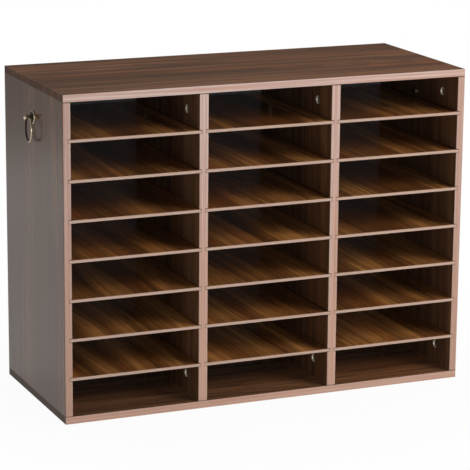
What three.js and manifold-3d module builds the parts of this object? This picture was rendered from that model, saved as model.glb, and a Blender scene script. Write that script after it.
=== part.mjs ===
// Pigeonhole mail sorter: a laminated carcass drawn together by cam locks, loose shelves that
// slide in grooves, a back let into the carcass, and a ring pull on each side.
// Millimetres, +Z up, front towards -Y, origin at the middle of the footprint.

import * as THREE from 'three';
import { mergeVertices } from 'three/addons/utils/BufferGeometryUtils.js';
import Module from 'manifold-3d';

const wasm = await Module();
wasm.setup();

// Pigeonholes and boards
const columns = 3;
const rows = 8;
const slotWidth = 219;
const slotHeight = 60;
const depth = 300;
const panelThickness = 12;
const dividerThickness = 15;
const shelfThickness = 5;
const shelfNose = 1;
const backThickness = 3;
const bandThickness = 1;
const bandArris = 0.3;

// Fits between boards
const seam = 0.1;
const grooveDepth = 4.4;
const grooveClearance = 0.3;
const grooveHeadroom = 0.9;
const shelfEndGap = 0.5;
const shelfRearGap = 0.5;
const backInset = 8;
const backGrooveDepth = 5;
const backClearance = 0.3;

// How far a cutter runs past the face that it opens
const overrun = 2;

// Cam locks
const camDiameter = 15;
const camFromEnd = 34;
const camFromEdge = 55;
const camWallBehind = 2.5;
const camClearance = 0.3;
const crossLength = 9;
const crossWidth = 1.8;
const crossDepth = 2;
const boltDiameter = 7;
const boltClearance = 0.5;
const threadDiameter = 5;
const threadSkin = 3;

// Ring pulls
const pullAboveShelf = 11;
const pullFit = 0.3;
const studDiameter = 4;
const nutWall = 1.2;
const nutThickness = 3.2;
const nutChamfer = 0.4;
const studProud = 0.6;
const rosetteDiameter = 22.4;
const rosetteThickness = 2.3;
const rosetteRim = 0.9;
const rosetteBead = 1.8;
const rosetteCove = 1.1;
const rosetteLand = 10;
const flangeDiameter = 8;
const flangeThickness = 0.9;
const neckDiameter = 5.2;
const neckLength = 0.9;
const ringRadius = 20;
const ringWire = 3.2;
const eyeClearance = 0.3;
const eyeWall = 2;
const ballDiameter = 7;
const ballSink = 2.4;

// Facets on round pieces
const camFacets = 20;
const boltFacets = 10;
const pullFacets = 24;
const arcFacets = 6;
const ringFacets = 40;
const wireFacets = 8;

// Carcass
const levels = rows - 1;
const clearWidth = columns * slotWidth + (columns - 1) * dividerThickness;
const width = clearWidth + 2 * panelThickness;
const innerHeight = rows * slotHeight + levels * shelfThickness;
const height = innerHeight + 2 * panelThickness;
const frontY = -depth / 2;
const rearY = depth / 2;
const boardFrontY = frontY + bandThickness + seam;
const floorZ = panelThickness;
const ceilingZ = height - panelThickness;
const backRearY = rearY - backInset;
const backFrontY = backRearY - backThickness;
const camRowsY = [frontY + camFromEdge, rearY - camFromEdge];
const threadDepth = panelThickness - threadSkin;
const pullZ = ceilingZ - slotHeight + pullAboveShelf;

// Underside of every shelf, from the lowest up
const shelfUndersides = Array.from(
  { length: levels },
  (_, level) => floorZ + slotHeight + level * (slotHeight + shelfThickness),
);

// Upright between two columns, or at the end of them, counted from the left. Its grooved faces and
// its cam face are -1 for the face on -X and 1 for the face on +X.
function uprightAt(index) {
  const isOuter = index === 0 || index === columns;
  const thickness = isOuter ? panelThickness : dividerThickness;
  const columnPitch = slotWidth + dividerThickness;
  const leftFace = index === 0 ? -width / 2 : index * columnPitch - dividerThickness - clearWidth / 2;
  const endNames = { 0: 'left_side', [columns]: 'right_side' };
  return {
    name: endNames[index] ?? `divider_${index}`,
    middle: leftFace + thickness / 2,
    thickness,
    isOuter,
    grooved: [-1, 1].filter((side) => index + side >= 0 && index + side <= columns),
    camSide: index === 0 ? 1 : -1,
  };
}

const uprights = Array.from({ length: columns + 1 }, (_, index) => uprightAt(index));

// Ring pull, measured outwards from the face of the side. The eye leaves room for the bow of the
// curved wire across the bead that it passes through.
const pullSeat = rosetteThickness + pullFit;
const wireBow = eyeWall ** 2 / (2 * ringRadius);
const eyeRadius = (ringWire / 2 + eyeClearance + wireBow) / (1 - eyeWall / ringRadius);
const beadRadius = eyeRadius + eyeWall;
const beadStart = pullSeat + flangeThickness + neckLength;
const eyeOut = beadStart + Math.sqrt(beadRadius ** 2 - (neckDiameter / 2) ** 2);
const ballRadius = ballDiameter / 2;
const ballOut = eyeOut + beadRadius + ballRadius - ballSink;
const nutFaceOut = -panelThickness - pullFit;
const studEnd = nutFaceOut - nutThickness - studProud;
const nutAcrossFlats = studDiameter + 2 * (pullFit + nutWall);

function finish(color, roughness, metalness) {
  return new THREE.MeshStandardMaterial({ color, roughness, metalness });
}

const walnut = finish(0x5e4638, 0.5, 0);
const shelfWalnut = finish(0x6b4a2c, 0.5, 0);
const backBoard = finish(0x33261e, 0.7, 0);
const paleBand = finish(0xb58f7f, 0.55, 0);
const zinc = finish(0xbdbdb8, 0.35, 1);
const brass = finish(0x8a7446, 0.4, 1);

function solid(geometry) {
  const bare = geometry.clone();
  bare.deleteAttribute('normal');
  bare.deleteAttribute('uv');
  const welded = mergeVertices(bare);
  return new wasm.Manifold(
    new wasm.Mesh({
      numProp: 3,
      vertProperties: welded.attributes.position.array,
      triVerts: Uint32Array.from(welded.index.array),
    }),
  );
}

function geometryOf(body) {
  const { vertProperties, triVerts } = body.getMesh();
  const geometry = new THREE.BufferGeometry();
  geometry.setAttribute('position', new THREE.BufferAttribute(vertProperties, 3));
  geometry.setIndex(new THREE.BufferAttribute(triVerts, 1));
  geometry.computeVertexNormals();
  return geometry;
}

function join(...geometries) {
  return geometryOf(geometries.map(solid).reduce((whole, piece) => whole.add(piece)));
}

function cut(geometry, tools) {
  return geometryOf(tools.map(solid).reduce((whole, tool) => whole.subtract(tool), solid(geometry)));
}

function inOrder(a, b) {
  return a < b ? [a, b] : [b, a];
}

function block(low, high) {
  const [x0, y0, z0] = low;
  const [x1, y1, z1] = high;
  const box = new THREE.BoxGeometry(x1 - x0, y1 - y0, z1 - z0);
  return box.translate((x0 + x1) / 2, (y0 + y1) / 2, (z0 + z1) / 2);
}

function rodAlongX(radius, x0, x1, facets) {
  const rod = new THREE.CylinderGeometry(radius, radius, x1 - x0, facets);
  return rod.rotateZ(-Math.PI / 2).translate((x0 + x1) / 2, 0, 0);
}

function rodAlongZ(radius, z0, z1, facets) {
  const rod = new THREE.CylinderGeometry(radius, radius, z1 - z0, facets);
  return rod.rotateX(Math.PI / 2).translate(0, 0, (z0 + z1) / 2);
}

// Turns a shape drawn in x and z, extruded along its own normal, so that it runs from y0 backwards
function standAlongY(extrusion, length, y0) {
  return extrusion.rotateX(Math.PI / 2).translate(0, y0 + length, 0);
}

function mesh(name, geometry, material) {
  const piece = new THREE.Mesh(geometry, material);
  piece.name = name;
  return piece;
}

// Front view of an upright about its own middle, notched on each grooved face for every shelf
function uprightOutline({ thickness, grooved }) {
  const face = thickness / 2;
  const bottom = floorZ + seam;
  const top = ceilingZ - seam;
  const points = [[-face, bottom], [face, bottom]];
  const notch = (side, underside) => {
    const lower = underside - grooveClearance;
    const upper = underside + shelfThickness + grooveHeadroom;
    const floor = side * (face - grooveDepth);
    return [[side * face, lower], [floor, lower], [floor, upper], [side * face, upper]];
  };
  if (grooved.includes(1)) {
    points.push(...shelfUndersides.flatMap((underside) => notch(1, underside)));
  }
  points.push([face, top], [-face, top]);
  if (grooved.includes(-1)) {
    points.push(...shelfUndersides.flatMap((underside) => notch(-1, underside)).reverse());
  }
  return new THREE.Shape(points.map(([x, z]) => new THREE.Vector2(x, z)));
}

// Cam pocket, bolt bore, back groove and pull hole, all about the upright's own middle
function uprightCuts({ thickness, camSide, isOuter }) {
  const face = thickness / 2;
  const tools = [];
  const pocketFloor = camWallBehind - face;
  for (const y of camRowsY) {
    for (const [end, inwards] of [[floorZ, 1], [ceilingZ, -1]]) {
      const camZ = end + inwards * camFromEnd;
      const pocket = rodAlongX(camDiameter / 2 + camClearance, pocketFloor, face + overrun, camFacets);
      pocket.rotateZ(camSide > 0 ? 0 : Math.PI);
      tools.push(pocket.translate(0, y, camZ));
      const boreSpan = inOrder(camZ, end - inwards * overrun);
      tools.push(rodAlongZ(boltDiameter / 2 + boltClearance, ...boreSpan, boltFacets).translate(0, y, 0));
    }
  }
  if (isOuter) {
    const [grooveLow, grooveHigh] = inOrder(camSide * (face - backGrooveDepth), camSide * (face + overrun));
    const low = [grooveLow, backFrontY - backClearance, 0];
    const high = [grooveHigh, backRearY + backClearance, height];
    tools.push(block(low, high));
    const pullHole = rodAlongX(studDiameter / 2 + pullFit, -face - overrun, face + overrun, boltFacets);
    tools.push(pullHole.translate(0, 0, pullZ));
  }
  return tools;
}

function makeUpright(upright) {
  const outline = uprightOutline(upright);
  const boardRearY = upright.isOuter ? rearY : backFrontY - seam;
  const length = boardRearY - boardFrontY;
  const board = new THREE.ExtrudeGeometry(outline, { depth: length, bevelEnabled: false });
  const cutBoard = cut(standAlongY(board, length, boardFrontY), uprightCuts(upright));
  const piece = mesh(upright.name, cutBoard, walnut);
  piece.position.x = upright.middle;
  return piece;
}

// Edge band on a board's front: its outline, with the arrises eased
function bandGeometry(outline) {
  const arris = Math.min(bandArris, bandThickness / 3);
  const straight = bandThickness - 2 * arris;
  const band = new THREE.ExtrudeGeometry(outline, {
    depth: straight,
    bevelThickness: arris,
    bevelSize: arris,
    bevelOffset: -arris,
    bevelSegments: 1,
  });
  return standAlongY(band, straight, frontY + arris);
}

function makeUprightBand(upright) {
  const band = mesh(`${upright.name}_edge_band`, bandGeometry(uprightOutline(upright)), paleBand);
  band.position.x = upright.middle;
  return band;
}

function makePanelBand(name, underside) {
  const half = width / 2;
  const corners = [[-half, 0], [half, 0], [half, panelThickness], [-half, panelThickness]];
  const outline = new THREE.Shape(corners.map(([x, z]) => new THREE.Vector2(x, z)));
  const band = mesh(`${name}_edge_band`, bandGeometry(outline), paleBand);
  band.position.z = underside;
  return band;
}

// Top or bottom panel. inwards is +1 where the uprights stand on it, -1 where they hang from it.
function makePanel(name, underside, inwards) {
  const half = width / 2;
  const board = block([-half, boardFrontY, 0], [half, rearY, panelThickness]);
  const innerFace = inwards > 0 ? panelThickness : 0;
  const sunk = (amount) => inOrder(innerFace - inwards * amount, innerFace + inwards * overrun);
  const [grooveLow, grooveHigh] = sunk(backGrooveDepth);
  const grooveReach = clearWidth / 2 + backGrooveDepth;
  const low = [-grooveReach, backFrontY - backClearance, grooveLow];
  const high = [grooveReach, backRearY + backClearance, grooveHigh];
  const tools = [block(low, high)];
  for (const { middle } of uprights) {
    for (const y of camRowsY) {
      const boreSpan = sunk(threadDepth + camClearance);
      const bore = rodAlongZ(threadDiameter / 2 + camClearance, ...boreSpan, boltFacets);
      tools.push(bore.translate(middle, y, 0));
    }
  }
  const piece = mesh(name, cut(board, tools), walnut);
  piece.position.z = underside;
  return piece;
}

function makeBack() {
  const reach = backGrooveDepth - backClearance;
  const halfWidth = clearWidth / 2 + reach;
  const low = [-halfWidth, backFrontY, floorZ - reach];
  const high = [halfWidth, backRearY, ceilingZ + reach];
  return mesh('back_panel', block(low, high), backBoard);
}

// Side view of a shelf, with its two front corners rounded, carried across the column
function shelfGeometry() {
  const half = slotWidth / 2 + grooveDepth - shelfEndGap;
  const shelfRearY = backFrontY - shelfRearGap;
  const nose = Math.min(shelfNose, shelfThickness / 3);
  const outline = new THREE.Shape();
  outline.moveTo(shelfRearY, 0);
  outline.lineTo(shelfRearY, shelfThickness);
  outline.lineTo(frontY + nose, shelfThickness);
  outline.absarc(frontY + nose, shelfThickness - nose, nose, Math.PI / 2, Math.PI);
  outline.absarc(frontY + nose, nose, nose, Math.PI, 1.5 * Math.PI);
  const board = new THREE.ExtrudeGeometry(outline, {
    depth: 2 * half,
    bevelEnabled: false,
    curveSegments: arcFacets / 2,
  });
  const [x, y, z] = [new THREE.Vector3(1, 0, 0), new THREE.Vector3(0, 1, 0), new THREE.Vector3(0, 0, 1)];
  return board.applyMatrix4(new THREE.Matrix4().makeBasis(y, z, x)).translate(-half, 0, 0);
}

function makeShelves() {
  const geometry = shelfGeometry();
  const shelves = [];
  for (let column = 0; column < columns; column += 1) {
    const left = uprights[column];
    shelfUndersides.forEach((underside, level) => {
      const shelf = mesh(`shelf_column${column + 1}_level${level + 1}`, geometry, shelfWalnut);
      shelf.position.set(left.middle + left.thickness / 2 + slotWidth / 2, 0, underside);
      shelves.push(shelf);
    });
  }
  return shelves;
}

// Cam drawn tight on its bolt: cam axis along X with its crossed face at +X, bolt along +Z
function camLockGeometry(thickness) {
  const face = thickness / 2;
  const cam = rodAlongX(camDiameter / 2, camWallBehind + camClearance - face, face, camFacets);
  const shank = rodAlongZ(boltDiameter / 2, 0, camFromEnd, boltFacets);
  const thread = rodAlongZ(threadDiameter / 2, 0, camFromEnd + threadDepth, boltFacets);
  const half = crossLength / 2;
  const halfBar = crossWidth / 2;
  const recessFloor = face - crossDepth;
  const bars = [
    block([recessFloor, -half, -halfBar], [face + overrun, half, halfBar]),
    block([recessFloor, -halfBar, -half], [face + overrun, halfBar, half]),
  ];
  return cut(join(cam, shank, thread), bars);
}

function makeCamLocks(upright) {
  const geometry = camLockGeometry(upright.thickness);
  const locks = [];
  for (const [row, y] of camRowsY.entries()) {
    for (const [place, camZ, turn] of [
      ['bottom', floorZ + camFromEnd, Math.PI],
      ['top', ceilingZ - camFromEnd, 0],
    ]) {
      const lock = mesh(`cam_lock_${upright.name}_${['front', 'rear'][row]}_${place}`, geometry, zinc);
      lock.position.set(upright.middle, y, camZ);
      lock.rotation.set(turn, 0, upright.camSide > 0 ? 0 : Math.PI);
      locks.push(lock);
    }
  }
  return locks;
}

// Points on an arc about a centre on the turning axis, as radius and distance outwards
function turnedArc(centre, radius, from, to) {
  return Array.from({ length: arcFacets + 1 }, (_, step) => {
    const angle = from + ((to - from) * step) / arcFacets;
    return new THREE.Vector2(radius * Math.cos(angle), centre + radius * Math.sin(angle));
  });
}

// Turned plate: its rim rounds over into a bead, then a cove dips and rises to the flange's land
function rosetteGeometry() {
  const bore = studDiameter / 2 + pullFit;
  const rim = rosetteDiameter / 2;
  const crown = rim - rosetteBead;
  const land = rosetteLand / 2;
  const bead = Array.from({ length: arcFacets / 2 + 1 }, (_, step) => {
    const angle = (Math.PI * step) / arcFacets;
    const out = rosetteRim + (rosetteThickness - rosetteRim) * Math.sin(angle);
    return new THREE.Vector2(crown + rosetteBead * Math.cos(angle), out);
  });
  const cove = Array.from({ length: arcFacets }, (_, step) => {
    const share = (step + 1) / arcFacets;
    const out = rosetteThickness - rosetteCove * Math.sin(Math.PI * share);
    return new THREE.Vector2(crown + (land - crown) * share, out);
  });
  const profile = [
    new THREE.Vector2(bore, pullFit),
    new THREE.Vector2(rim, pullFit),
    ...bead,
    ...cove,
    new THREE.Vector2(bore, rosetteThickness),
    new THREE.Vector2(bore, pullFit),
  ];
  return new THREE.LatheGeometry(profile, pullFacets);
}

// Stud, flange, neck, bead and ball turned in one, with the eye bored across the bead
function postGeometry() {
  const neck = neckDiameter / 2;
  const stud = studDiameter / 2;
  const flange = flangeDiameter / 2;
  const gap = ballOut - eyeOut;
  const waistOut = (gap ** 2 + beadRadius ** 2 - ballRadius ** 2) / (2 * gap);
  const waist = Math.sqrt(beadRadius ** 2 - waistOut ** 2);
  const beadFrom = -Math.acos(neck / beadRadius);
  const beadTo = Math.atan2(waistOut, waist);
  const ballFrom = Math.atan2(waistOut - gap, waist);
  const ballArc = turnedArc(ballOut, ballRadius, ballFrom, Math.PI / 2);
  const profile = [
    new THREE.Vector2(0, studEnd),
    new THREE.Vector2(stud, studEnd),
    new THREE.Vector2(stud, pullSeat),
    new THREE.Vector2(flange, pullSeat),
    new THREE.Vector2(flange, pullSeat + flangeThickness),
    new THREE.Vector2(neck, pullSeat + flangeThickness),
    ...turnedArc(eyeOut, beadRadius, beadFrom, beadTo),
    ...ballArc.slice(1, -1),
    new THREE.Vector2(0, ballOut + ballRadius),
  ];
  const eye = rodAlongX(eyeRadius, -beadRadius - overrun, beadRadius + overrun, pullFacets);
  return cut(new THREE.LatheGeometry(profile, pullFacets), [eye.translate(0, eyeOut, 0)]);
}

function ringGeometry() {
  return new THREE.TorusGeometry(ringRadius, ringWire / 2, wireFacets, ringFacets).rotateX(Math.PI / 2);
}

// Hexagon nut with its corners eased, on the stud's inner end
function nutGeometry() {
  const corner = nutAcrossFlats / 2 / Math.cos(Math.PI / 6);
  const outline = new THREE.Shape();
  for (let side = 0; side < 6; side += 1) {
    const angle = (side * Math.PI) / 3;
    const draw = side === 0 ? 'moveTo' : 'lineTo';
    outline[draw](corner * Math.cos(angle), corner * Math.sin(angle));
  }
  const straight = nutThickness - 2 * nutChamfer;
  const blank = new THREE.ExtrudeGeometry(outline, {
    depth: straight,
    bevelThickness: nutChamfer,
    bevelSize: nutChamfer,
    bevelOffset: -nutChamfer,
    bevelSegments: 1,
  });
  const bore = rodAlongZ(studDiameter / 2 + pullFit, -overrun, nutThickness + overrun, boltFacets);
  const nut = cut(blank, [bore]);
  return nut.rotateX(Math.PI / 2).translate(0, nutFaceOut - nutChamfer, 0);
}

// Ring pull about the point where its axis meets the side: Y outwards, Z up, X along the depth
function makePull(side, outwards) {
  const pull = new THREE.Group();
  const ring = mesh(`${side}_ring`, ringGeometry(), brass);
  ring.position.set(0, eyeOut, -ringRadius);
  pull.add(
    mesh(`${side}_ring_rosette`, rosetteGeometry(), brass),
    mesh(`${side}_ring_post`, postGeometry(), brass),
    mesh(`${side}_ring_nut`, nutGeometry(), zinc),
    ring,
  );
  pull.rotation.z = (-outwards * Math.PI) / 2;
  pull.position.set((outwards * width) / 2, 0, pullZ);
  return pull;
}

const sorter = new THREE.Group();
sorter.add(
  makePanel('bottom_panel', 0, 1),
  makePanel('top_panel', ceilingZ, -1),
  makePanelBand('bottom_panel', 0),
  makePanelBand('top_panel', ceilingZ),
  ...uprights.map(makeUpright),
  ...uprights.map(makeUprightBand),
  ...uprights.flatMap(makeCamLocks),
  makeBack(),
  ...makeShelves(),
  makePull('left', -1),
  makePull('right', 1),
);

export default sorter;
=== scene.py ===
"""Looks of a pigeonhole mail sorter: six walnut-pattern boards with pale front bands, 21 loose shelves, a
dark back, cam locks, and a ring pull on each side. Metres, with X to the right, Y to the back and Z up."""

import math

import bpy
import numpy as np
from mathutils import Matrix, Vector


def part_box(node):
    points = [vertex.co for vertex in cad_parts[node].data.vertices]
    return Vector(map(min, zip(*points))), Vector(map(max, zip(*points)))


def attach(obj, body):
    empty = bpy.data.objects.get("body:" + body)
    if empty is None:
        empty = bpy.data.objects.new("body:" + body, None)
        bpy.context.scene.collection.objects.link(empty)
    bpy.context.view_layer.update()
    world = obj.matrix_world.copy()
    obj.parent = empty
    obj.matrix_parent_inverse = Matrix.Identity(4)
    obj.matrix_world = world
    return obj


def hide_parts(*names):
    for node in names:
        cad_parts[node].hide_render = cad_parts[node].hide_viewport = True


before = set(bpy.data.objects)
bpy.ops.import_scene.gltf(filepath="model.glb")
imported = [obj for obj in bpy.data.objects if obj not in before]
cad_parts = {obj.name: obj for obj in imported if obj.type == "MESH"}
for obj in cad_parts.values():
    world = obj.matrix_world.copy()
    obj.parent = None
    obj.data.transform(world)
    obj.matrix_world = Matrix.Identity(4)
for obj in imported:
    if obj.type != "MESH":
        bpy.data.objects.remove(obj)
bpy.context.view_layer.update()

MM = 0.001

# Camera: where it stands and looks, as read from the photograph's corners and edges
PHOTO_SIDE = 470
CAMERA_PLACE = (-1.4905, -3.4783, 1.1685)
CAMERA_AZIMUTH = math.radians(23.232)
CAMERA_ELEVATION = math.radians(13.644)
CAMERA_ROLL = math.radians(0.483)
FOCAL_PIXELS = 2284.4
SENSOR_WIDTH = 36.0

# Carcass and shelves
BOARDS = ("top_panel", "bottom_panel")
UPRIGHTS = ("left_side", "divider_1", "divider_2", "right_side")
COLUMNS = 3
LEVELS = 7
SHELF_EDGE = 1.0 * MM

# Ring pulls: radii, distances outwards from the side's outer face, and angles of arcs in degrees
TURNS = 72
EYE_OUT = 7.727 * MM
EYE_RADIUS = 2.222 * MM
BEAD_RADIUS = 4.222 * MM
BALL_OUT = 13.049 * MM
BALL_RADIUS = 3.5 * MM
BALL_ARC = (-46, 87)
STUD_RADIUS = 2.0 * MM
STUD_END = -16.1 * MM
STUD_TIP = 0.4 * MM
STUD_PITCH = 0.7 * MM
STUD_THREAD = 0.3 * MM
STUD_THREADED = 6.0 * MM
FLANGE_RADIUS = 4.0 * MM
FLANGE_OUT = 2.6 * MM
FLANGE_TOP = 3.5 * MM
NECK_RADIUS = 2.6 * MM
NECK_END = 4.9 * MM
ROSETTE_RADIUS = 11.2 * MM
ROSETTE_BORE = 2.3 * MM
ROSETTE_LAND = 5.0 * MM
ROSETTE_FOOT = 0.3 * MM
ROSETTE_RIM = 0.9 * MM
ROSETTE_TOP = 2.3 * MM
ROSETTE_BEAD = 1.8 * MM
ROSETTE_COVE = 1.1 * MM
RING_RADIUS = 20.0 * MM
WIRE_RADIUS = 1.6 * MM
WIRE_STEPS = 24
RING_TWIST = math.radians(4)
NUT_FLAT = 3.5 * MM
NUT_BORE = 2.3 * MM
NUT_OUT = -15.5 * MM
NUT_IN = -12.3 * MM
NUT_BEVEL = math.tan(math.radians(30))
NUT_SHOULDER = 0.94
ROSETTE_EASE = 0.2 * MM
FLANGE_EASE = 0.25 * MM
EYE_EASE = 0.2 * MM
EYE_LIP = 3
SHARP_ANGLE = math.radians(32)
POST_RUB = 0.15

# Cam locks: sizes, then places on the face as shares of its radius
CAM_RADIUS = 7.5 * MM
CAM_CHAMFER = 0.3 * MM
DISH_DEPTH = 2.2 * MM
CROSS_DEPTH = 0.9 * MM
BOLT_RADIUS = 3.5 * MM
BOLT_FOOT = 4.0 * MM
BOLT_SHANK = 34.0 * MM
BOLT_END = 43.0 * MM
BOLT_TIP = 0.6 * MM
BOLT_CORE = 2.5 * MM
BOLT_PITCH = 1.6 * MM
BOLT_THREAD = 0.6 * MM
CROSS_HALF = 0.15
CROSS_REACH = 0.58
CROSS_WALL = 0.02
DISH_EDGE = 0.76
RIM_EDGE = 0.9
CHAMFER_EDGE = 0.96


def paint(red, green, blue):
    """A colour given in 0 to 255 steps of a screen, as the linear colour that shaders use."""
    share = np.array((red, green, blue)) / 255
    linear = np.where(share <= 0.04045, share / 12.92, ((share + 0.055) / 1.055) ** 2.4)
    return (*linear.tolist(), 1.0)


def blend(first, second, share):
    """A plain colour that lies between two others."""
    return tuple(a + (b - a) * share for a, b in zip(first, second))


class Wire:
    """A socket in a node tree. Sums, products and the like of wires and numbers add Math nodes."""

    def __init__(self, finish, socket):
        self.finish = finish
        self.socket = socket

    def math(self, operation, *values):
        return self.finish.node("ShaderNodeMath", {"operation": operation}, dict(enumerate(values)))

    def __add__(self, other):
        return self.math("ADD", self, other)

    def __radd__(self, other):
        return self.math("ADD", other, self)

    def __sub__(self, other):
        return self.math("SUBTRACT", self, other)

    def __rsub__(self, other):
        return self.math("SUBTRACT", other, self)

    def __mul__(self, other):
        return self.math("MULTIPLY", self, other)

    def __rmul__(self, other):
        return self.math("MULTIPLY", other, self)

    def __abs__(self):
        return self.math("ABSOLUTE", self)

    def least(self, other):
        return self.math("MINIMUM", self, other)

    def most(self, other):
        return self.math("MAXIMUM", self, other)

    def wrapped(self, period):
        return self.math("FLOORED_MODULO", self, period)


class Finish:
    """A material, or the world, whose nodes are written as expressions on wires."""

    def __init__(self, owner):
        owner.use_nodes = True
        self.owner = owner
        self.tree = owner.node_tree

    def node(self, kind, settings=None, sockets=None, output=0):
        """Adds one node: its settings first, then a value or a wire for each socket that is named."""
        made = self.tree.nodes.new(kind)
        for key, value in (settings or {}).items():
            setattr(made, key, value)
        for key, value in (sockets or {}).items():
            self.feed(made.inputs[key], value)
        return Wire(self, made.outputs[output])

    def feed(self, socket, value):
        if isinstance(value, Wire):
            self.tree.links.new(value.socket, socket)
        else:
            socket.default_value = value

    def mix(self, share, first, second):
        return self.node("ShaderNodeMix", {"data_type": "RGBA"}, {0: share, 6: first, 7: second}, 2)

    def ease(self, value, low, high):
        """0 at low and 1 at high, with a smooth step between them."""
        settings = {"interpolation_type": "SMOOTHSTEP"}
        return self.node("ShaderNodeMapRange", settings, {0: value, 1: low, 2: high})

    def noise(self, place, detail=2.0, roughness=0.5, distortion=0.0):
        sockets = {"Vector": place, "Scale": 1.0, "Detail": detail}
        sockets.update({"Roughness": roughness, "Distortion": distortion})
        return self.node("ShaderNodeTexNoise", None, sockets)

    def vector(self, operation, first, second):
        return self.node("ShaderNodeVectorMath", {"operation": operation}, {0: first, 1: second})

    def bump(self, height, distance, strength):
        sockets = {"Height": height, "Distance": distance, "Strength": strength}
        return self.node("ShaderNodeBump", None, sockets)


class Surface(Finish):
    """A material on Object coordinates with one Principled shader."""

    def __init__(self, name):
        super().__init__(bpy.data.materials.new(name))
        self.shader = self.tree.nodes["Principled BSDF"]
        self.place = self.node("ShaderNodeTexCoord", None, None, "Object")
        self.x = self.node("ShaderNodeSeparateXYZ", None, {0: self.place}, "X")
        self.y = self.node("ShaderNodeSeparateXYZ", None, {0: self.place}, "Y")
        self.z = self.node("ShaderNodeSeparateXYZ", None, {0: self.place}, "Z")

    def shade(self, sockets):
        for key, value in sockets.items():
            self.feed(self.shader.inputs[key], value)
        return self.owner

    def stretch(self, place, axes, along, across, through):
        """The place scaled along the grain, across it and through the board. Axes names those in order."""
        scale = dict(zip(axes, (along, across, through)))
        return self.vector("MULTIPLY", place, [scale[axis] for axis in "XYZ"])

    def sway(self, place, axis, amount):
        """The place moved along one axis by an amount that varies."""
        step = [float(axis == other) for other in "XYZ"]
        moved = self.node("ShaderNodeVectorMath", {"operation": "SCALE"}, {0: step, "Scale": amount})
        return self.vector("ADD", place, moved)

    def depth(self, axis, low, high):
        """How far a point in a box lies, along one axis, from the nearer of the box's two ends."""
        index = "XYZ".index(axis)
        middle = (low[index] + high[index]) / 2
        return high[index] - middle - abs((self.x, self.y, self.z)[index] - middle)

    def arris(self, low, high):
        """How far a point on a box's faces lies from the nearest edge: the middle one of its three depths."""
        a, b, c = (self.depth(axis, low, high) for axis in "XYZ")
        return a.least(b).most(a.most(b).least(c))


# Walnut print: how far along it a board is cut, streaks and patches to the metre, how strongly its grain is
# drawn, and its colours
TOP_PRINT = dict(
    cut=0.4, streaks=60, patches=9, contrast=0.8,
    dark=paint(48, 30, 19), middle=paint(104, 70, 45), light=paint(126, 88, 60), red=paint(126, 74, 42),
)
UPRIGHT_PRINT = dict(
    cut=0.0, streaks=70, patches=8, contrast=0.7,
    dark=paint(62, 42, 29), middle=paint(94, 65, 45), light=paint(112, 81, 58), red=paint(110, 70, 44),
)
SHELF_PRINT = dict(
    cut=0.21, streaks=90, patches=18, contrast=0.6,
    dark=paint(60, 38, 22), middle=paint(132, 86, 48), light=paint(208, 148, 86), red=paint(166, 98, 50),
)
BOTTOM_PRINT = dict(
    cut=0.0, streaks=85, patches=8, contrast=0.65,
    dark=paint(52, 38, 30), middle=paint(126, 91, 70), light=paint(164, 119, 86), red=paint(146, 96, 65),
)

# Walnut figure. Scales are to the metre: along the grain, across it and through the board. Pairs are the
# levels of a noise between which a tone comes in, and shares are how much of it is laid on
BEND_SCALE = (1.6, 6, 12)
BEND_SWAY = 0.04
PATCH_LENGTH = 0.7
LIGHT_PATCH = (0.4, 0.64)
GROWTH_LINES = 208
GROWTH_EDGE = (0.25, 1.0)
GROWTH_SHARE = 0.4
RED_SCALE = (0.9, 13, 23)
RED_PATCH = (0.48, 0.68)
RED_SHARE = 0.65
STREAK_LENGTH = 1.8
DARK_STREAK = (0.6, 0.38)
STREAK_SHARE = 0.85
PORE_SCALE = (45, 1300, 900)
PORE_EDGE = (0.58, 0.7)
PORE_SHARE = 0.35
GRAIN_RELIEF = 0.2 * MM

# Boards: shine and dullness of faces, darkness of end strips, arrises lightened by wear and a painted
# highlight
TOP_SHINE = 0.28
TOP_DULLNESS = 0.7
TOP_STRIP = 0.4
UPRIGHT_SHINE = 0.36
BOTTOM_SHINE = 0.6
BOARD_DULLNESS = 0.22
UPRIGHT_STRIP = 0.5
BOTTOM_STRIP = 0.85
STRIP_DARK = paint(48, 30, 19)
STRIP_DULLNESS = 0.62
END_DEPTH = (0.4 * MM, 0.1 * MM)
STREAK_DULLNESS = 0.04
BOARD_BUMP = 0.04
# Arrises are lightened towards this colour, partly as wear and partly as a painted highlight
ARRIS_WEAR_AND_HIGHLIGHT = paint(140, 122, 108)
ARRIS_LIGHTENING_SCALE = (30, 90, 90)
ARRIS_LIGHTENING_UNEVENNESS = 0.8 * MM
ARRIS_LIGHTENING_DEPTH = (1.4 * MM, 0.5 * MM)
ARRIS_LIGHTENING_SHARE = 0.45
# Width of a dark, dull line along each board's front edge, behind its band
FRONT_DARK_LINE = 2.5 * MM
SHELF_SHINE = 0.5
SHELF_DULLNESS = 0.15
SHELF_STREAK_DULLNESS = 0.08
SHELF_BUMP = 0.25
EDGE_SCALE = (9, 900, 300)


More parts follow.
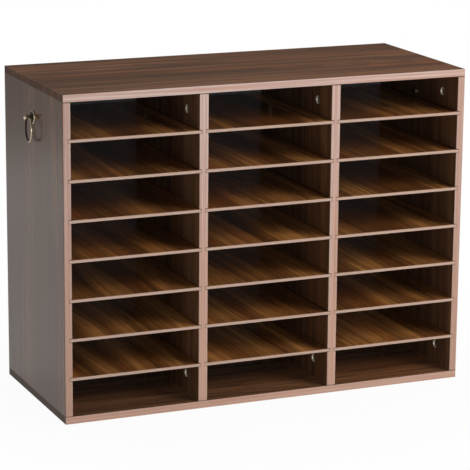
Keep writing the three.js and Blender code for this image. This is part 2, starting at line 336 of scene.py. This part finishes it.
def walnut_grain(surface, axes, cut, streaks, patches, contrast, dark, middle, light, red):
    """Colour, relief and pores of a walnut print. Light patches follow a smooth field that is long along the
    grain, and the field's contours, about as close on every board, are the growth rings, which darken slowly
    and stop sharply. Finer noise lays streaks over them, and short dashes are the pores."""
    place = surface.vector("ADD", surface.place, (cut, cut, cut))
    bend = surface.noise(surface.stretch(place, axes, *BEND_SCALE), 2)
    place = surface.sway(place, axes[1], bend * BEND_SWAY)
    field = surface.noise(surface.stretch(place, axes, PATCH_LENGTH, patches, patches * 2), 1.5, 0.4)
    ring = surface.ease((field * (GROWTH_LINES / patches)).wrapped(1.0), *GROWTH_EDGE)
    warm = surface.noise(surface.stretch(place, axes, *RED_SCALE), 2)
    streak = surface.noise(surface.stretch(place, axes, STREAK_LENGTH, streaks, streaks / 2), 5, 0.7, 0.15)
    pores = surface.noise(surface.stretch(place, axes, *PORE_SCALE), 1)
    pore = surface.ease(pores, *PORE_EDGE)
    colour = surface.mix(surface.ease(field, *LIGHT_PATCH), middle, light)
    colour = surface.mix(surface.ease(warm, *RED_PATCH) * RED_SHARE, colour, red)
    colour = surface.mix(surface.ease(streak, *DARK_STREAK) * (STREAK_SHARE * contrast), colour, dark)
    colour = surface.mix(ring * (GROWTH_SHARE * contrast), colour, dark)
    colour = surface.mix(pore * PORE_SHARE, colour, dark)
    return colour, streak - ring * 0.5, pore


def walnut_board(node, axes, figure, shine, dullness, strip_share):
    """A board in walnut print, with its arrises a little lighter, partly from wear and partly as a painted
    highlight, its ends covered in a darker strip, and a dark line behind its front band."""
    surface = Surface(f"{node}_walnut")
    colour, streak, pore = walnut_grain(surface, axes, **figure)
    low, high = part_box(node)
    patchy = surface.noise(surface.stretch(surface.place, axes, *ARRIS_LIGHTENING_SCALE), 3)
    lighter_arris = surface.ease(surface.arris(low, high) + patchy * ARRIS_LIGHTENING_UNEVENNESS, *ARRIS_LIGHTENING_DEPTH)
    end = surface.ease(surface.depth(axes[0], low, high), *END_DEPTH)
    # The end strips and the dark line behind the band are both darker and duller
    strip = end.most(surface.ease(surface.y, low.y + FRONT_DARK_LINE, low.y + FRONT_DARK_LINE / 2))
    # Arrises lightened: partly wear, partly a painted highlight
    colour = surface.mix(lighter_arris * ARRIS_LIGHTENING_SHARE, colour, ARRIS_WEAR_AND_HIGHLIGHT)
    colour = surface.mix(strip * strip_share, colour, STRIP_DARK)
    height = streak * 0.5 - pore
    return surface.shade({
        "Base Color": colour,
        "Roughness": (dullness + streak * STREAK_DULLNESS) * (1 - strip) + STRIP_DULLNESS * strip,
        "Specular IOR Level": shine,
        "Normal": surface.bump(height, GRAIN_RELIEF, BOARD_BUMP),
    })


def walnut_shelf():
    """Glossy shelf board with its grain from front to back and a pale front edge."""
    surface = Surface("shelf_walnut")
    colour, streak, pore = walnut_grain(surface, "YXZ", **SHELF_PRINT)
    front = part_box("shelf_column1_level1")[0].y
    edge = surface.ease(surface.y, front + SHELF_EDGE, front + SHELF_EDGE * 0.7)
    line = surface.noise(surface.stretch(surface.place, "XZY", *EDGE_SCALE), 3)
    pale = surface.mix(line, EDGE_DARK, EDGE_LIGHT)
    colour = surface.mix(edge, colour, pale)
    height = streak * 0.5 - pore
    return surface.shade({
        "Base Color": colour,
        "Roughness": SHELF_DULLNESS + streak * SHELF_STREAK_DULLNESS,
        "Specular IOR Level": SHELF_SHINE,
        "Normal": surface.bump(height, GRAIN_RELIEF, SHELF_BUMP),
    })


# Pale front edges
BAND_PINK = paint(177, 138, 126)
BAND_BEIGE = paint(192, 172, 166)
BAND_DARK = paint(150, 116, 103)
BAND_JOINT = paint(84, 58, 48)
# Painted shade: the bands turn browner towards the floor, towards this colour, between these heights, by this
# share
BAND_FOOT_SHADE = paint(181, 140, 118)
FOOT_SHADE_HEIGHT = (0.45, 0.1)
FOOT_SHADE_SHARE = 0.55
# Painted shade: the sides' bands are darkened as a whole by this share
SIDE_BAND_SHADE = 0.38
BAND_LINE_SCALE = (7, 700, 400)
BAND_LINE_EDGE = (0.55, 0.3)
BAND_LINE_SHARE = 0.5
BAND_TONE_SCALE = (2.5, 300, 80)
BAND_TONE_EDGE = (0.35, 0.65)
BAND_RUB_DEPTH = (0.9 * MM, 0.3 * MM)
BAND_RUB_SHARE = 0.3
BAND_DULLNESS = 0.5
BAND_LINE_DULLNESS = 0.15
BAND_SHINE = 0.3
BAND_RELIEF = 0.1 * MM
BAND_BUMP = 0.2
JOINT_WIDTH = 1.6 * MM
EDGE_DARK = paint(161, 136, 123)
EDGE_LIGHT = paint(188, 161, 148)


def pale_band(node, axes, joint_strength, side_shade):
    """Pale front band with fine lines along it, browner towards the floor as painted shade, rubbed at its
    arrises and darker where its ends make a joint. The last argument says how far the whole band is
    darkened as painted shade."""
    pink, beige, foot = (blend(tone, BAND_DARK, side_shade) for tone in (BAND_PINK, BAND_BEIGE, BAND_FOOT_SHADE))
    surface = Surface(f"{node}_pale")
    low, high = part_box(node)
    line = surface.noise(surface.stretch(surface.place, axes, *BAND_LINE_SCALE), 4, 0.6)
    tone = surface.noise(surface.stretch(surface.place, axes, *BAND_TONE_SCALE), 3)
    colour = surface.mix(surface.ease(tone, *BAND_TONE_EDGE), pink, beige)
    # Painted shade: browner towards the floor
    colour = surface.mix(surface.ease(surface.z, *FOOT_SHADE_HEIGHT) * FOOT_SHADE_SHARE, colour, foot)
    colour = surface.mix(surface.ease(line, *BAND_LINE_EDGE) * BAND_LINE_SHARE, colour, BAND_DARK)
    lighter_arris = surface.ease(surface.arris(low, high), *BAND_RUB_DEPTH)
    colour = surface.mix(lighter_arris * BAND_RUB_SHARE, colour, EDGE_LIGHT)
    joint = surface.ease(surface.depth(axes[0], low, high), JOINT_WIDTH, JOINT_WIDTH / 2)
    colour = surface.mix(joint * joint_strength, colour, BAND_JOINT)
    return surface.shade({
        "Base Color": colour,
        "Roughness": BAND_DULLNESS + line * BAND_LINE_DULLNESS,
        "Specular IOR Level": BAND_SHINE,
        "Normal": surface.bump(line, BAND_RELIEF, BAND_BUMP),
    })


# Back
BACK_DARK = paint(79, 75, 77)
BACK_LIGHT = paint(97, 92, 95)
BACK_RAW = paint(126, 92, 62)
RAW_DEPTH = (0.3 * MM, 0.6 * MM)
RAW_SHARE = 0.7
MOTTLE_SCALE = (60, 60, 60)
MOTTLE_EDGE = (0.3, 0.7)
MOTTLE_DULLNESS = 0.2
PRESS_SCALE = (900, 900, 900)
PRESS_RELIEF = 0.2 * MM
PRESS_BUMP = 0.3
BACK_DULLNESS = 0.6
BACK_SHINE = 0.3


def dark_back():
    """Thin hardboard back: dark, pressed and slightly mottled inside, and raw brown behind."""
    surface = Surface("back_hardboard")
    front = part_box("back_panel")[0].y
    raw = surface.ease(surface.y - front, *RAW_DEPTH)
    mottle = surface.noise(surface.stretch(surface.place, "XZY", *MOTTLE_SCALE), 4, 0.6)
    press = surface.noise(surface.stretch(surface.place, "XZY", *PRESS_SCALE), 2)
    tone = surface.ease(mottle, *MOTTLE_EDGE)
    colour = surface.mix(tone, BACK_DARK, BACK_LIGHT)
    colour = surface.mix(raw * (RAW_SHARE + tone * (1 - RAW_SHARE)), colour, BACK_RAW)
    return surface.shade({
        "Base Color": colour,
        "Roughness": BACK_DULLNESS + mottle * MOTTLE_DULLNESS,
        "Specular IOR Level": BACK_SHINE,
        "Normal": surface.bump(press, PRESS_RELIEF, PRESS_BUMP),
    })


# Metal fittings
# Cams' zinc: the dull colour on their faces is a painted dark reflection, the bright one on their dish walls
# a painted highlight
ZINC_FACE_PAINTED_REFLECTION = paint(84, 72, 60)
ZINC_WALL_PAINTED_HIGHLIGHT = paint(248, 238, 216)
ZINC_METAL = 0.4
STEEL_DULL = paint(104, 98, 92)
STEEL_BRIGHT = paint(158, 152, 144)
STEEL_METAL = 0.9
CLOUD_SCALE = (260, 260, 260)
CAST_SCALE = (2600, 2600, 2600)
CAST_RELIEF = 0.1 * MM
CAST_BUMP = 0.25
METAL_DULLNESS = 0.3
CLOUD_DULLNESS = 0.2
POLISHED = (0.3, 0.65)
PLATE_HIGHLIGHT_AND_POLISH = 0.6


def plated_metal(name, dull, bright, metal):
    """Plated metal with a fine grain, dull where a piece leaves it unmarked and bright in patches where it is
    marked. The nut and the bolts are marked all over, as wear on their shells. On the cams only the dish's
    wall is marked, as a painted highlight, and the dull rest of the face is a painted dark reflection.
    """
    surface = Surface(name)
    wear_and_highlight = surface.node("ShaderNodeAttribute", {"attribute_name": "wear_and_highlight"}, None, "Fac")
    cloud = surface.noise(surface.stretch(surface.place, "XYZ", *CLOUD_SCALE), 4, 0.6)
    cast = surface.noise(surface.stretch(surface.place, "XYZ", *CAST_SCALE), 2)
    highlight_and_polish = wear_and_highlight * (PLATE_HIGHLIGHT_AND_POLISH + surface.ease(cloud, *POLISHED) * (1 - PLATE_HIGHLIGHT_AND_POLISH))
    return surface.shade({
        "Base Color": surface.mix(highlight_and_polish, dull, bright),
        "Metallic": metal,
        "Roughness": METAL_DULLNESS + cloud * CLOUD_DULLNESS,
        "Normal": surface.bump(cast, CAST_RELIEF, CAST_BUMP),
    })


BRASS_DARK = paint(52, 44, 32)
BRASS_BRIGHT = paint(220, 206, 176)
TARNISH_SCALE = (300, 300, 300)
BRASS_GRAIN_SCALE = (3000, 3000, 3000)
BRASS_RELIEF = 0.08 * MM
BRASS_BUMP = 0.2
BRASS_POLISH = 0.75
BRASS_DULLNESS = 0.44
BRASS_SMOOTHED = 0.18
BRASS_GRAIN_DULLNESS = 0.06


def antique_brass():
    """Aged brass, bright where its shell is worn by hands, and dark and duller elsewhere."""
    surface = Surface("antique_brass")
    wear_and_highlight = surface.node("ShaderNodeAttribute", {"attribute_name": "wear_and_highlight"}, None, "Fac")
    cloud = surface.noise(surface.stretch(surface.place, "XYZ", *TARNISH_SCALE), 3, 0.5)
    fine = surface.noise(surface.stretch(surface.place, "XYZ", *BRASS_GRAIN_SCALE), 2)
    bright = wear_and_highlight * (BRASS_POLISH + surface.ease(cloud, *POLISHED) * (1 - BRASS_POLISH))
    return surface.shade({
        "Base Color": surface.mix(bright, BRASS_DARK, BRASS_BRIGHT),
        "Metallic": 1.0,
        "Roughness": BRASS_DULLNESS - bright * BRASS_SMOOTHED + fine * BRASS_GRAIN_DULLNESS,
        "Normal": surface.bump(fine, BRASS_RELIEF, BRASS_BUMP),
    })


def dress(node, material):
    """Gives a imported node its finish."""
    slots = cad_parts[node].data.materials
    slots.clear()
    slots.append(material)


def grid_faces(rows, columns, wrapped):
    """Four-sided faces between neighbours on a grid that closes on itself along each row, and also from its
    last row to its first if wrapped."""
    row = np.arange(rows if wrapped else rows - 1)[:, None]
    column = np.arange(columns)[None, :]
    above = (row + 1) % rows * columns
    beside = (column + 1) % columns
    here = row * columns
    corners = np.broadcast_arrays(here + column, here + beside, above + beside, above + column)
    return np.stack(corners, axis=-1).reshape(-1, 4)


def turned_points(radius, out):
    """Points of a profile turned about an axis: (radius cos t, radius sin t, out) at equal steps of the angle
    t, one row for each profile point. Radius and out may also vary with t."""
    t = np.linspace(0, 2 * np.pi, TURNS, endpoint=False)
    radius = np.broadcast_to(radius, (len(radius), TURNS))
    out = np.broadcast_to(out, (len(out), TURNS))
    return np.stack((radius * np.cos(t), radius * np.sin(t), out), axis=-1)


def turned_ring(profile, wear_and_highlight):
    """A turned shell with a closed profile that stays off the axis. Profile is rows of radius and distance
    out, and the last argument says how bright each row is rubbed."""
    points = turned_points(profile[:, :1], profile[:, 1:])
    return points.reshape(-1, 3), grid_faces(len(points), TURNS, True).tolist(), np.repeat(wear_and_highlight, TURNS)


def turned_solid(points, wear_and_highlight):
    """A turned shell whose first and last rows close on the axis, each at the middle of its row. It is rubbed
    evenly."""
    rows = len(points)
    poles = np.stack((points[0].mean(axis=0), points[-1].mean(axis=0)))
    around = np.arange(TURNS)
    ahead = (around + 1) % TURNS
    first = np.full(TURNS, rows * TURNS)
    last = (rows - 1) * TURNS
    caps = np.concatenate((
        np.stack((first, ahead, around), axis=-1),
        np.stack((last + around, last + ahead, first + 1), axis=-1),
    ))
    faces = grid_faces(rows, TURNS, False).tolist() + caps.tolist()
    return np.concatenate((points.reshape(-1, 3), poles)), faces, np.full(rows * TURNS + 2, wear_and_highlight)


def arc(centre, radius, start, stop, steps):
    """Profile points on an arc about a centre (radius, out), from one angle to another, in degrees."""
    angle = np.radians(np.linspace(start, stop, steps))
    return np.stack((centre[0] + radius * np.cos(angle), centre[1] + radius * np.sin(angle)), axis=-1)


def threaded(radius, start, stop, pitch, depth):
    """Rows of a threaded rod: its radius dips along a helix, r - depth times a triangle wave of
    (out / pitch - t / 2 pi), and the thread runs out over the last turn before stop."""
    out = np.linspace(start, stop, round(abs(stop - start) / pitch * 8))[:, None]
    t = np.linspace(0, 2 * np.pi, TURNS, endpoint=False)[None, :]
    phase = (out / pitch - t / (2 * np.pi)) % 1
    fade = np.clip(np.abs(stop - out) / pitch, 0, 1)
    return turned_points(radius - depth * fade * np.abs(2 * phase - 1), out)


def turned_rows(*profile):
    """Turned points of a few profile points, each a radius and a distance out."""
    rows = np.array(profile)
    return turned_points(rows[:, :1], rows[:, 1:])


def ring_shell():
    """Ring of round wire: a circle of the wire's radius carried round the ring's own circle, hanging from the
    eye and twisted a little about the plumb line, with its front outwards. It is rubbed bright on its
    outside."""
    wire = arc((RING_RADIUS, 0), WIRE_RADIUS, 0, 360 - 360 / WIRE_STEPS, WIRE_STEPS)
    wear_and_highlight = np.clip(0.5 + (wire[:, 0] - RING_RADIUS) / WIRE_RADIUS, 0, 1)
    points, faces, brightened = turned_ring(wire, wear_and_highlight)
    turn = np.array(Matrix.Rotation(RING_TWIST, 3, "Y"))
    return points @ turn + (0, -RING_RADIUS, EYE_OUT), faces, brightened


def rosette_shell():
    """Turned rosette: a quarter ellipse rounds the rim over to a bead's crown, and a cove, half a sine wave
    in section, lies between the crown and the flat land round the post. The bead's outside is rubbed
    bright."""
    crown = ROSETTE_RADIUS - ROSETTE_BEAD
    turn = np.radians(np.linspace(0, 90, 13))
    bead = np.stack((
        crown + ROSETTE_BEAD * np.cos(turn),
        ROSETTE_RIM + (ROSETTE_TOP - ROSETTE_RIM) * np.sin(turn),
    ), axis=-1)
    share = np.linspace(0, 1, 25)[1:]
    cove = np.stack((
        crown + (ROSETTE_LAND - crown) * share,
        ROSETTE_TOP - ROSETTE_COVE * np.sin(np.pi * share),
    ), axis=-1)
    foot_centre = (ROSETTE_RADIUS - ROSETTE_EASE, ROSETTE_FOOT + ROSETTE_EASE)
    foot = arc(foot_centre, ROSETTE_EASE, -90, 0, 5)
    bore = np.array([(ROSETTE_BORE, ROSETTE_TOP), (ROSETTE_BORE, ROSETTE_FOOT)])
    profile = np.concatenate((foot, bead, cove, bore))
    wear_and_highlight = np.clip(0.3 + (profile[:, 0] - crown) / ROSETTE_BEAD, 0, 1)
    return turned_ring(profile, wear_and_highlight)


def post_shells():
    """Post of a pull: a threaded stud with the flange and neck above it, the bead turned about the eye's own
    axis, and the ball, which alone is rubbed bright."""
    stud = threaded(STUD_RADIUS, STUD_END + STUD_TIP, STUD_END + STUD_THREADED, STUD_PITCH, STUD_THREAD)
    tip = turned_rows((STUD_RADIUS - STUD_THREAD, STUD_END))
    rim = FLANGE_RADIUS - FLANGE_EASE
    upper = turned_rows(
        (STUD_RADIUS, FLANGE_OUT),
        *arc((rim, FLANGE_OUT + FLANGE_EASE), FLANGE_EASE, -90, 0, 5),
        *arc((rim, FLANGE_TOP - FLANGE_EASE), FLANGE_EASE, 0, 90, 5),
        (NECK_RADIUS, FLANGE_TOP),
        (NECK_RADIUS, NECK_END),
        (NECK_RADIUS * 0.8, NECK_END),
    )
    shank = turned_solid(np.concatenate((tip, stud, upper)), POST_RUB)
    reach = math.degrees(math.acos(EYE_RADIUS / BEAD_RADIUS)) - EYE_LIP
    outside = arc((0, 0), BEAD_RADIUS, -reach, reach, 25)
    half = BEAD_RADIUS * math.sin(math.radians(reach)) - EYE_EASE
    inside = np.stack((np.full(9, EYE_RADIUS), np.linspace(half, -half, 9)), axis=-1)
    profile = np.concatenate((outside, inside))
    points, faces, brightened = turned_ring(profile, np.full(len(profile), POST_RUB))
    bead = points[:, (2, 0, 1)] + (0, 0, EYE_OUT), faces, brightened
    ball_arc = arc((0, BALL_OUT), BALL_RADIUS, *BALL_ARC, 25)
    ball = turned_solid(turned_rows((ball_arc[0, 0] * 0.5, ball_arc[0, 1]), *ball_arc), 1.0)
    return shank, bead, ball


def nut_shell():
    """Hexagon nut: the distance from the axis to the flats, flat / cos(t), turned at equal steps of t, with
    both ends cut by a cone that starts inside the flats."""
    t = np.linspace(0, 2 * np.pi, TURNS, endpoint=False)
    sixth = np.pi / 3
    side = NUT_FLAT / np.cos((t + sixth / 2) % sixth - sixth / 2)
    shoulder = np.full(TURNS, NUT_FLAT * NUT_SHOULDER)
    drop = (side - shoulder) * NUT_BEVEL
    bore = np.full(TURNS, NUT_BORE)
    outer = np.full(TURNS, NUT_OUT)
    inner = np.full(TURNS, NUT_IN)
    radius = np.stack((bore, shoulder, side, side, shoulder, bore))
    out = np.stack((outer, outer, outer + drop, inner - drop, inner, inner))
    points = turned_points(radius, out).reshape(-1, 3)
    return points, grid_faces(len(radius), TURNS, True).tolist(), np.ones(len(points))


def cam_shells(drum, middle):
    """Cam and bolt. The face is a square grid of u and v wrapped on to a disc: the larger of the two is the
    radius, and the smaller one's share of it is the share of an eighth of a turn. It dips to a dish inside
    the rim and to a cross, where the smaller is small, and a drum closes it behind. Only the dish's wall is
    marked bright, a painted highlight, and the rest of the face stays dull as a painted dark reflection.
    The bolt stands at the upright's middle."""
    half = np.array((
        0, 0.08, CROSS_HALF, CROSS_HALF + CROSS_WALL, 0.25, 0.34, 0.43, 0.51,
        CROSS_REACH, CROSS_REACH + CROSS_WALL, 0.7, DISH_EDGE, RIM_EDGE, CHAMFER_EDGE, 1,
    ))
    line = np.concatenate((-half[:0:-1], half))
    u, v = np.meshgrid(line, line)
    steep = np.abs(v) > np.abs(u)
    large, small = np.where(steep, (v, u), (u, v))
    turn = small / np.where(large == 0, 1, large) * np.pi / 4
    far = large * np.cos(turn)
    near = large * np.sin(turn)
    along, up = np.where(steep, (near, far), (far, near)) * CAM_RADIUS
    radius = np.abs(large)
    cross = (radius <= CROSS_REACH) & (np.abs(small) <= CROSS_HALF)
    out = -DISH_DEPTH * (radius <= DISH_EDGE) - CROSS_DEPTH * cross - CAM_CHAMFER * (radius == 1)
    front = np.stack((along, up, out), axis=-1).reshape(-1, 3)
    index = np.arange(len(front)).reshape(u.shape)
    face = np.stack((index[:-1, :-1], index[:-1, 1:], index[1:, 1:], index[1:, :-1]), axis=-1)
    rim = np.concatenate((index[0, :-1], index[:-1, -1], index[-1, :0:-1], index[:0:-1, 0]))
    behind = front[rim] * (1, 1, 0) - (0, 0, drum)
    rear = len(front) + np.arange(len(rim))
    wall = np.stack((rim, rear, np.roll(rear, -1), np.roll(rim, -1)), axis=-1)
    pole = np.full(len(rim), len(front) + len(rim))
    cap = np.stack((pole, np.roll(rear, -1), rear), axis=-1)
    points = np.concatenate((front, behind, [(0, 0, -drum)]))
    # Painted highlight: only the dish's wall is marked bright, and the rest of the face stays dull as a
    # painted dark reflection
    wear_and_highlight = np.zeros(len(points))
    wear_and_highlight[:len(front)] = np.isin(radius, (DISH_EDGE, RIM_EDGE)).reshape(-1)
    cam = points, face.reshape(-1, 4).tolist() + wall.tolist() + cap.tolist(), wear_and_highlight
    shank = turned_rows((BOLT_RADIUS, BOLT_FOOT), (BOLT_RADIUS, BOLT_SHANK))
    thread = threaded(BOLT_CORE, BOLT_END - BOLT_TIP, BOLT_SHANK, BOLT_PITCH, BOLT_THREAD)[::-1]
    tip = turned_rows((BOLT_CORE - BOLT_THREAD, BOLT_END))
    points, faces, brightened = turned_solid(np.concatenate((shank, thread, tip)), 1.0)
    return cam, (points[:, (1, 2, 0)] - (0, 0, middle), faces, brightened)


def make_piece(node, body, slot, material, origin, outwards, upwards, *shells):
    """Makes the piece that stands for a node from its shells. Their first axis runs along the board, the
    second up it and the third out of its face, which looks to +X or -X as outwards says. Upwards is -1 where
    the piece is upside down."""
    vertices = []
    faces = []
    wear_and_highlight = []
    count = 0
    for points, loops, brightened in shells:
        along, up, out = points.T
        placed = (origin.x + outwards * out, origin.y + outwards * upwards * along, origin.z + upwards * up)
        vertices.append(np.stack(placed, axis=-1))
        faces.extend([[corner + count for corner in loop] for loop in loops])
        wear_and_highlight.append(brightened)
        count += len(points)
    mesh = bpy.data.meshes.new(f"{node}_turned")
    mesh.from_pydata(np.concatenate(vertices).tolist(), [], faces)
    mesh.polygons.foreach_set("use_smooth", np.ones(len(mesh.polygons), bool))
    mesh.set_sharp_from_angle(angle=SHARP_ANGLE)
    mesh.attributes.new("wear_and_highlight", "FLOAT", "POINT").data.foreach_set("value", np.concatenate(wear_and_highlight))
    mesh.materials.append(material)
    piece = bpy.data.objects.new(f"{node}_turned", mesh)
    bpy.context.scene.collection.objects.link(piece)
    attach(piece, body)
    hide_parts(node)


def area_lamp(name, place, aim, size, power, colour=(1.0, 1.0, 1.0)):
    """A square soft box that faces a point, with its side in metres and its power in watts."""
    lamp = bpy.data.lights.new(name, "AREA")
    lamp.size = size
    lamp.energy = power
    lamp.color = colour
    holder = bpy.data.objects.new(name, lamp)
    away = np.array(place) - np.array(aim)
    holder.matrix_world = Matrix.Translation(place) @ facing(away)
    bpy.context.scene.collection.objects.link(holder)
    return holder


def facing(away):
    """Turn that points an object's -Z axis against a direction, with its X axis level."""
    back = away / np.linalg.norm(away)
    right = np.cross((0, 0, 1), back)
    right /= np.linalg.norm(right)
    up = np.cross(back, right)
    return Matrix(np.stack((right, up, back), axis=-1).tolist()).to_4x4()


top_finish = walnut_board("top_panel", "XYZ", TOP_PRINT, TOP_SHINE, TOP_DULLNESS, TOP_STRIP)
dress("top_panel", top_finish)
bottom_finish = walnut_board("bottom_panel", "XYZ", BOTTOM_PRINT, BOTTOM_SHINE, BOARD_DULLNESS, BOTTOM_STRIP)
dress("bottom_panel", bottom_finish)
for node in BOARDS:
    dress(f"{node}_edge_band", pale_band(f"{node}_edge_band", "XZY", 0.0, 0.0))
for node in UPRIGHTS:
    dress(node, walnut_board(node, "ZYX", UPRIGHT_PRINT, UPRIGHT_SHINE, BOARD_DULLNESS, UPRIGHT_STRIP))
    # The sides' bands are darkened as a whole, a painted shade
    side_shade = SIDE_BAND_SHADE if node.endswith("side") else 0.0
    dress(f"{node}_edge_band", pale_band(f"{node}_edge_band", "ZXY", 1.0, side_shade))
shelf_finish = walnut_shelf()
for column in range(1, COLUMNS + 1):
    for level in range(1, LEVELS + 1):
        dress(f"shelf_column{column}_level{level}", shelf_finish)
dress("back_panel", dark_back())
zinc = plated_metal("bright_zinc", ZINC_FACE_PAINTED_REFLECTION, ZINC_WALL_PAINTED_HIGHLIGHT, ZINC_METAL)
steel = plated_metal("dull_steel", STEEL_DULL, STEEL_BRIGHT, STEEL_METAL)
brass = antique_brass()
for upright in UPRIGHTS:
    low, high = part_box(upright)
    outwards = 1 if upright == "left_side" else -1
    for row in ("front", "rear"):
        for end, upwards in (("bottom", -1), ("top", 1)):
            node = f"cam_lock_{upright}_{row}_{end}"
            cam_low, cam_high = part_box(node)
            origin = (cam_low + cam_high) / 2
            origin.x = high.x if outwards > 0 else low.x
            origin.z = cam_low.z + CAM_RADIUS if upwards > 0 else cam_high.z - CAM_RADIUS
            shells = cam_shells(cam_high.x - cam_low.x, (high.x - low.x) / 2)
            make_piece(node, "carcass", "zinc", zinc, origin, outwards, upwards, *shells)
for side, outwards in (("left", -1), ("right", 1)):
    low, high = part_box(f"{side}_side")
    post_low, post_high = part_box(f"{side}_ring_post")
    origin = (post_low + post_high) / 2
    origin.x = high.x if outwards > 0 else low.x
    pull = f"{side}_ring"
    make_piece(pull, pull, "antique_brass", brass, origin, outwards, 1, ring_shell())
    make_piece(f"{pull}_rosette", "carcass", "antique_brass", brass, origin, outwards, 1, rosette_shell())
    make_piece(f"{pull}_post", "carcass", "antique_brass", brass, origin, outwards, 1, *post_shells())
    make_piece(f"{pull}_nut", "carcass", "zinc", steel, origin, outwards, 1, nut_shell())

# Camera
direction = np.array((
    math.sin(CAMERA_AZIMUTH) * math.cos(CAMERA_ELEVATION),
    math.cos(CAMERA_AZIMUTH) * math.cos(CAMERA_ELEVATION),
    -math.sin(CAMERA_ELEVATION),
))
camera_data = bpy.data.cameras.new("camera")
camera_data.sensor_width = SENSOR_WIDTH
camera_data.lens = FOCAL_PIXELS / PHOTO_SIDE * SENSOR_WIDTH
camera = bpy.data.objects.new("camera", camera_data)
roll = Matrix.Rotation(CAMERA_ROLL, 4, "Z")
camera.matrix_world = Matrix.Translation(CAMERA_PLACE) @ facing(-direction) @ roll
bpy.context.scene.collection.objects.link(camera)
bpy.context.scene.camera = camera

# Floor, world and lamps
FLOOR_HALF = 20.0
FLOOR_WHITE = (0.8, 0.8, 0.8, 1.0)
WHITE = (1.0, 1.0, 1.0, 1.0)
FLOOR_GLOW = 0.95
SHADOW_FADE = (0.35, 0.8)
MIRRORED_FLOOR = 0.5
FLOOR_FADE = (0.2, 1.9)
FLOOR_LOSS = 0.75
ROOM_LOW = (0.45, 0.45, 0.45, 1.0)
ROOM_HIGH = (0.2, 0.2, 0.2, 1.0)
BACKDROP_EDGE = 0.08
BACKDROP_TOP = 0.22
MIRRORED_BACKDROP = 0.5
WARM_LIGHT = (1.0, 0.9, 0.76)
PALE_LIGHT = (1.0, 0.93, 0.84)
COOL_LIGHT = (0.83, 0.92, 1.0)


def seen_directly(finish, mirrored):
    """1 for a ray from the camera, 0 for light that fills in, and mirrored for what gloss or glass shows."""
    camera_ray = finish.node("ShaderNodeLightPath", None, None, "Is Camera Ray")
    glossy_ray = finish.node("ShaderNodeLightPath", None, None, "Is Glossy Ray")
    glass_ray = finish.node("ShaderNodeLightPath", None, None, "Is Transmission Ray")
    return camera_ray.most(glossy_ray.most(glass_ray) * mirrored)


def pale_floor():
    """A wide floor that is white to the eye, with a soft shadow of the sorter near it. A gloss shows it
    greyer, and greyer still far off."""
    corner = np.array([(-1, -1, 0), (1, -1, 0), (1, 1, 0), (-1, 1, 0)]) * FLOOR_HALF
    mesh = bpy.data.meshes.new("floor")
    mesh.from_pydata(corner.tolist(), [], [(0, 1, 2, 3)])
    floor = bpy.data.objects.new("floor", mesh)
    finish = Finish(bpy.data.materials.new("floor_white"))
    finish.tree.nodes.remove(finish.tree.nodes["Principled BSDF"])
    matt = finish.node("ShaderNodeBsdfDiffuse", None, {"Color": FLOOR_WHITE})
    glow = finish.node("ShaderNodeEmission", None, {"Color": WHITE, "Strength": 1.0})
    place = finish.node("ShaderNodeTexCoord", None, None, "Object")
    far = finish.node("ShaderNodeVectorMath", {"operation": "LENGTH"}, {0: place}, "Value")
    mirrored = MIRRORED_FLOOR - finish.ease(far, *FLOOR_FADE) * (MIRRORED_FLOOR * FLOOR_LOSS)
    white = FLOOR_GLOW + finish.ease(far, *SHADOW_FADE) * (1 - FLOOR_GLOW)
    share = seen_directly(finish, mirrored) * white
    mixed = finish.node("ShaderNodeMixShader", None, {0: share, 1: matt, 2: glow})
    finish.feed(finish.tree.nodes["Material Output"].inputs["Surface"], mixed)
    mesh.materials.append(finish.owner)
    bpy.context.scene.collection.objects.link(floor)


def pale_world():
    """A white backdrop that turns grey above it where it is seen. As light, its lower part is a paler grey
    than the upper."""
    world = bpy.data.worlds.new("room")
    bpy.context.scene.world = world
    finish = Finish(world)
    way = finish.node("ShaderNodeTexCoord", None, None, "Generated")
    height = finish.node("ShaderNodeSeparateXYZ", None, {0: way}, "Z")
    low = finish.ease(height, BACKDROP_TOP, BACKDROP_EDGE)
    light = finish.mix(low, ROOM_HIGH, ROOM_LOW)
    colour = finish.mix(seen_directly(finish, MIRRORED_BACKDROP) * low, light, WHITE)
    finish.feed(finish.tree.nodes["Background"].inputs["Color"], colour)


pale_floor()
pale_world()
key_lamp = area_lamp("key", (1.6, -1.75, 1.4), (0.0, -0.15, 0.3), 1.6, 47, WARM_LIGHT)
area_lamp("overhead", (0.2, 0.3, 2.4), (0.0, 0.0, 0.5), 1.2, 15.5)
rear_fill = area_lamp("rear_fill", (-1.3, 1.9, 0.75), (-0.35, 0.0, 0.4), 0.5, 7)
back_fill = area_lamp("back_fill", (0.9, 2.2, 0.7), (0.1, 0.0, 0.3), 0.9, 10, PALE_LIGHT)
area_lamp("front_fill", (-0.4, -3.0, 0.5), (0.0, 0.0, 0.25), 1.2, 26, COOL_LIGHT)
area_lamp("side_fill", (-2.6, -1.1, 0.3), (0.0, 0.0, 0.25), 0.8, 11, PALE_LIGHT)
# Mirrored in the glossy boards, these would burn out the shelves and the top
for lamp in (key_lamp, rear_fill, back_fill):
    lamp.visible_glossy = False
bpy.context.scene.view_settings.view_transform = "Standard"
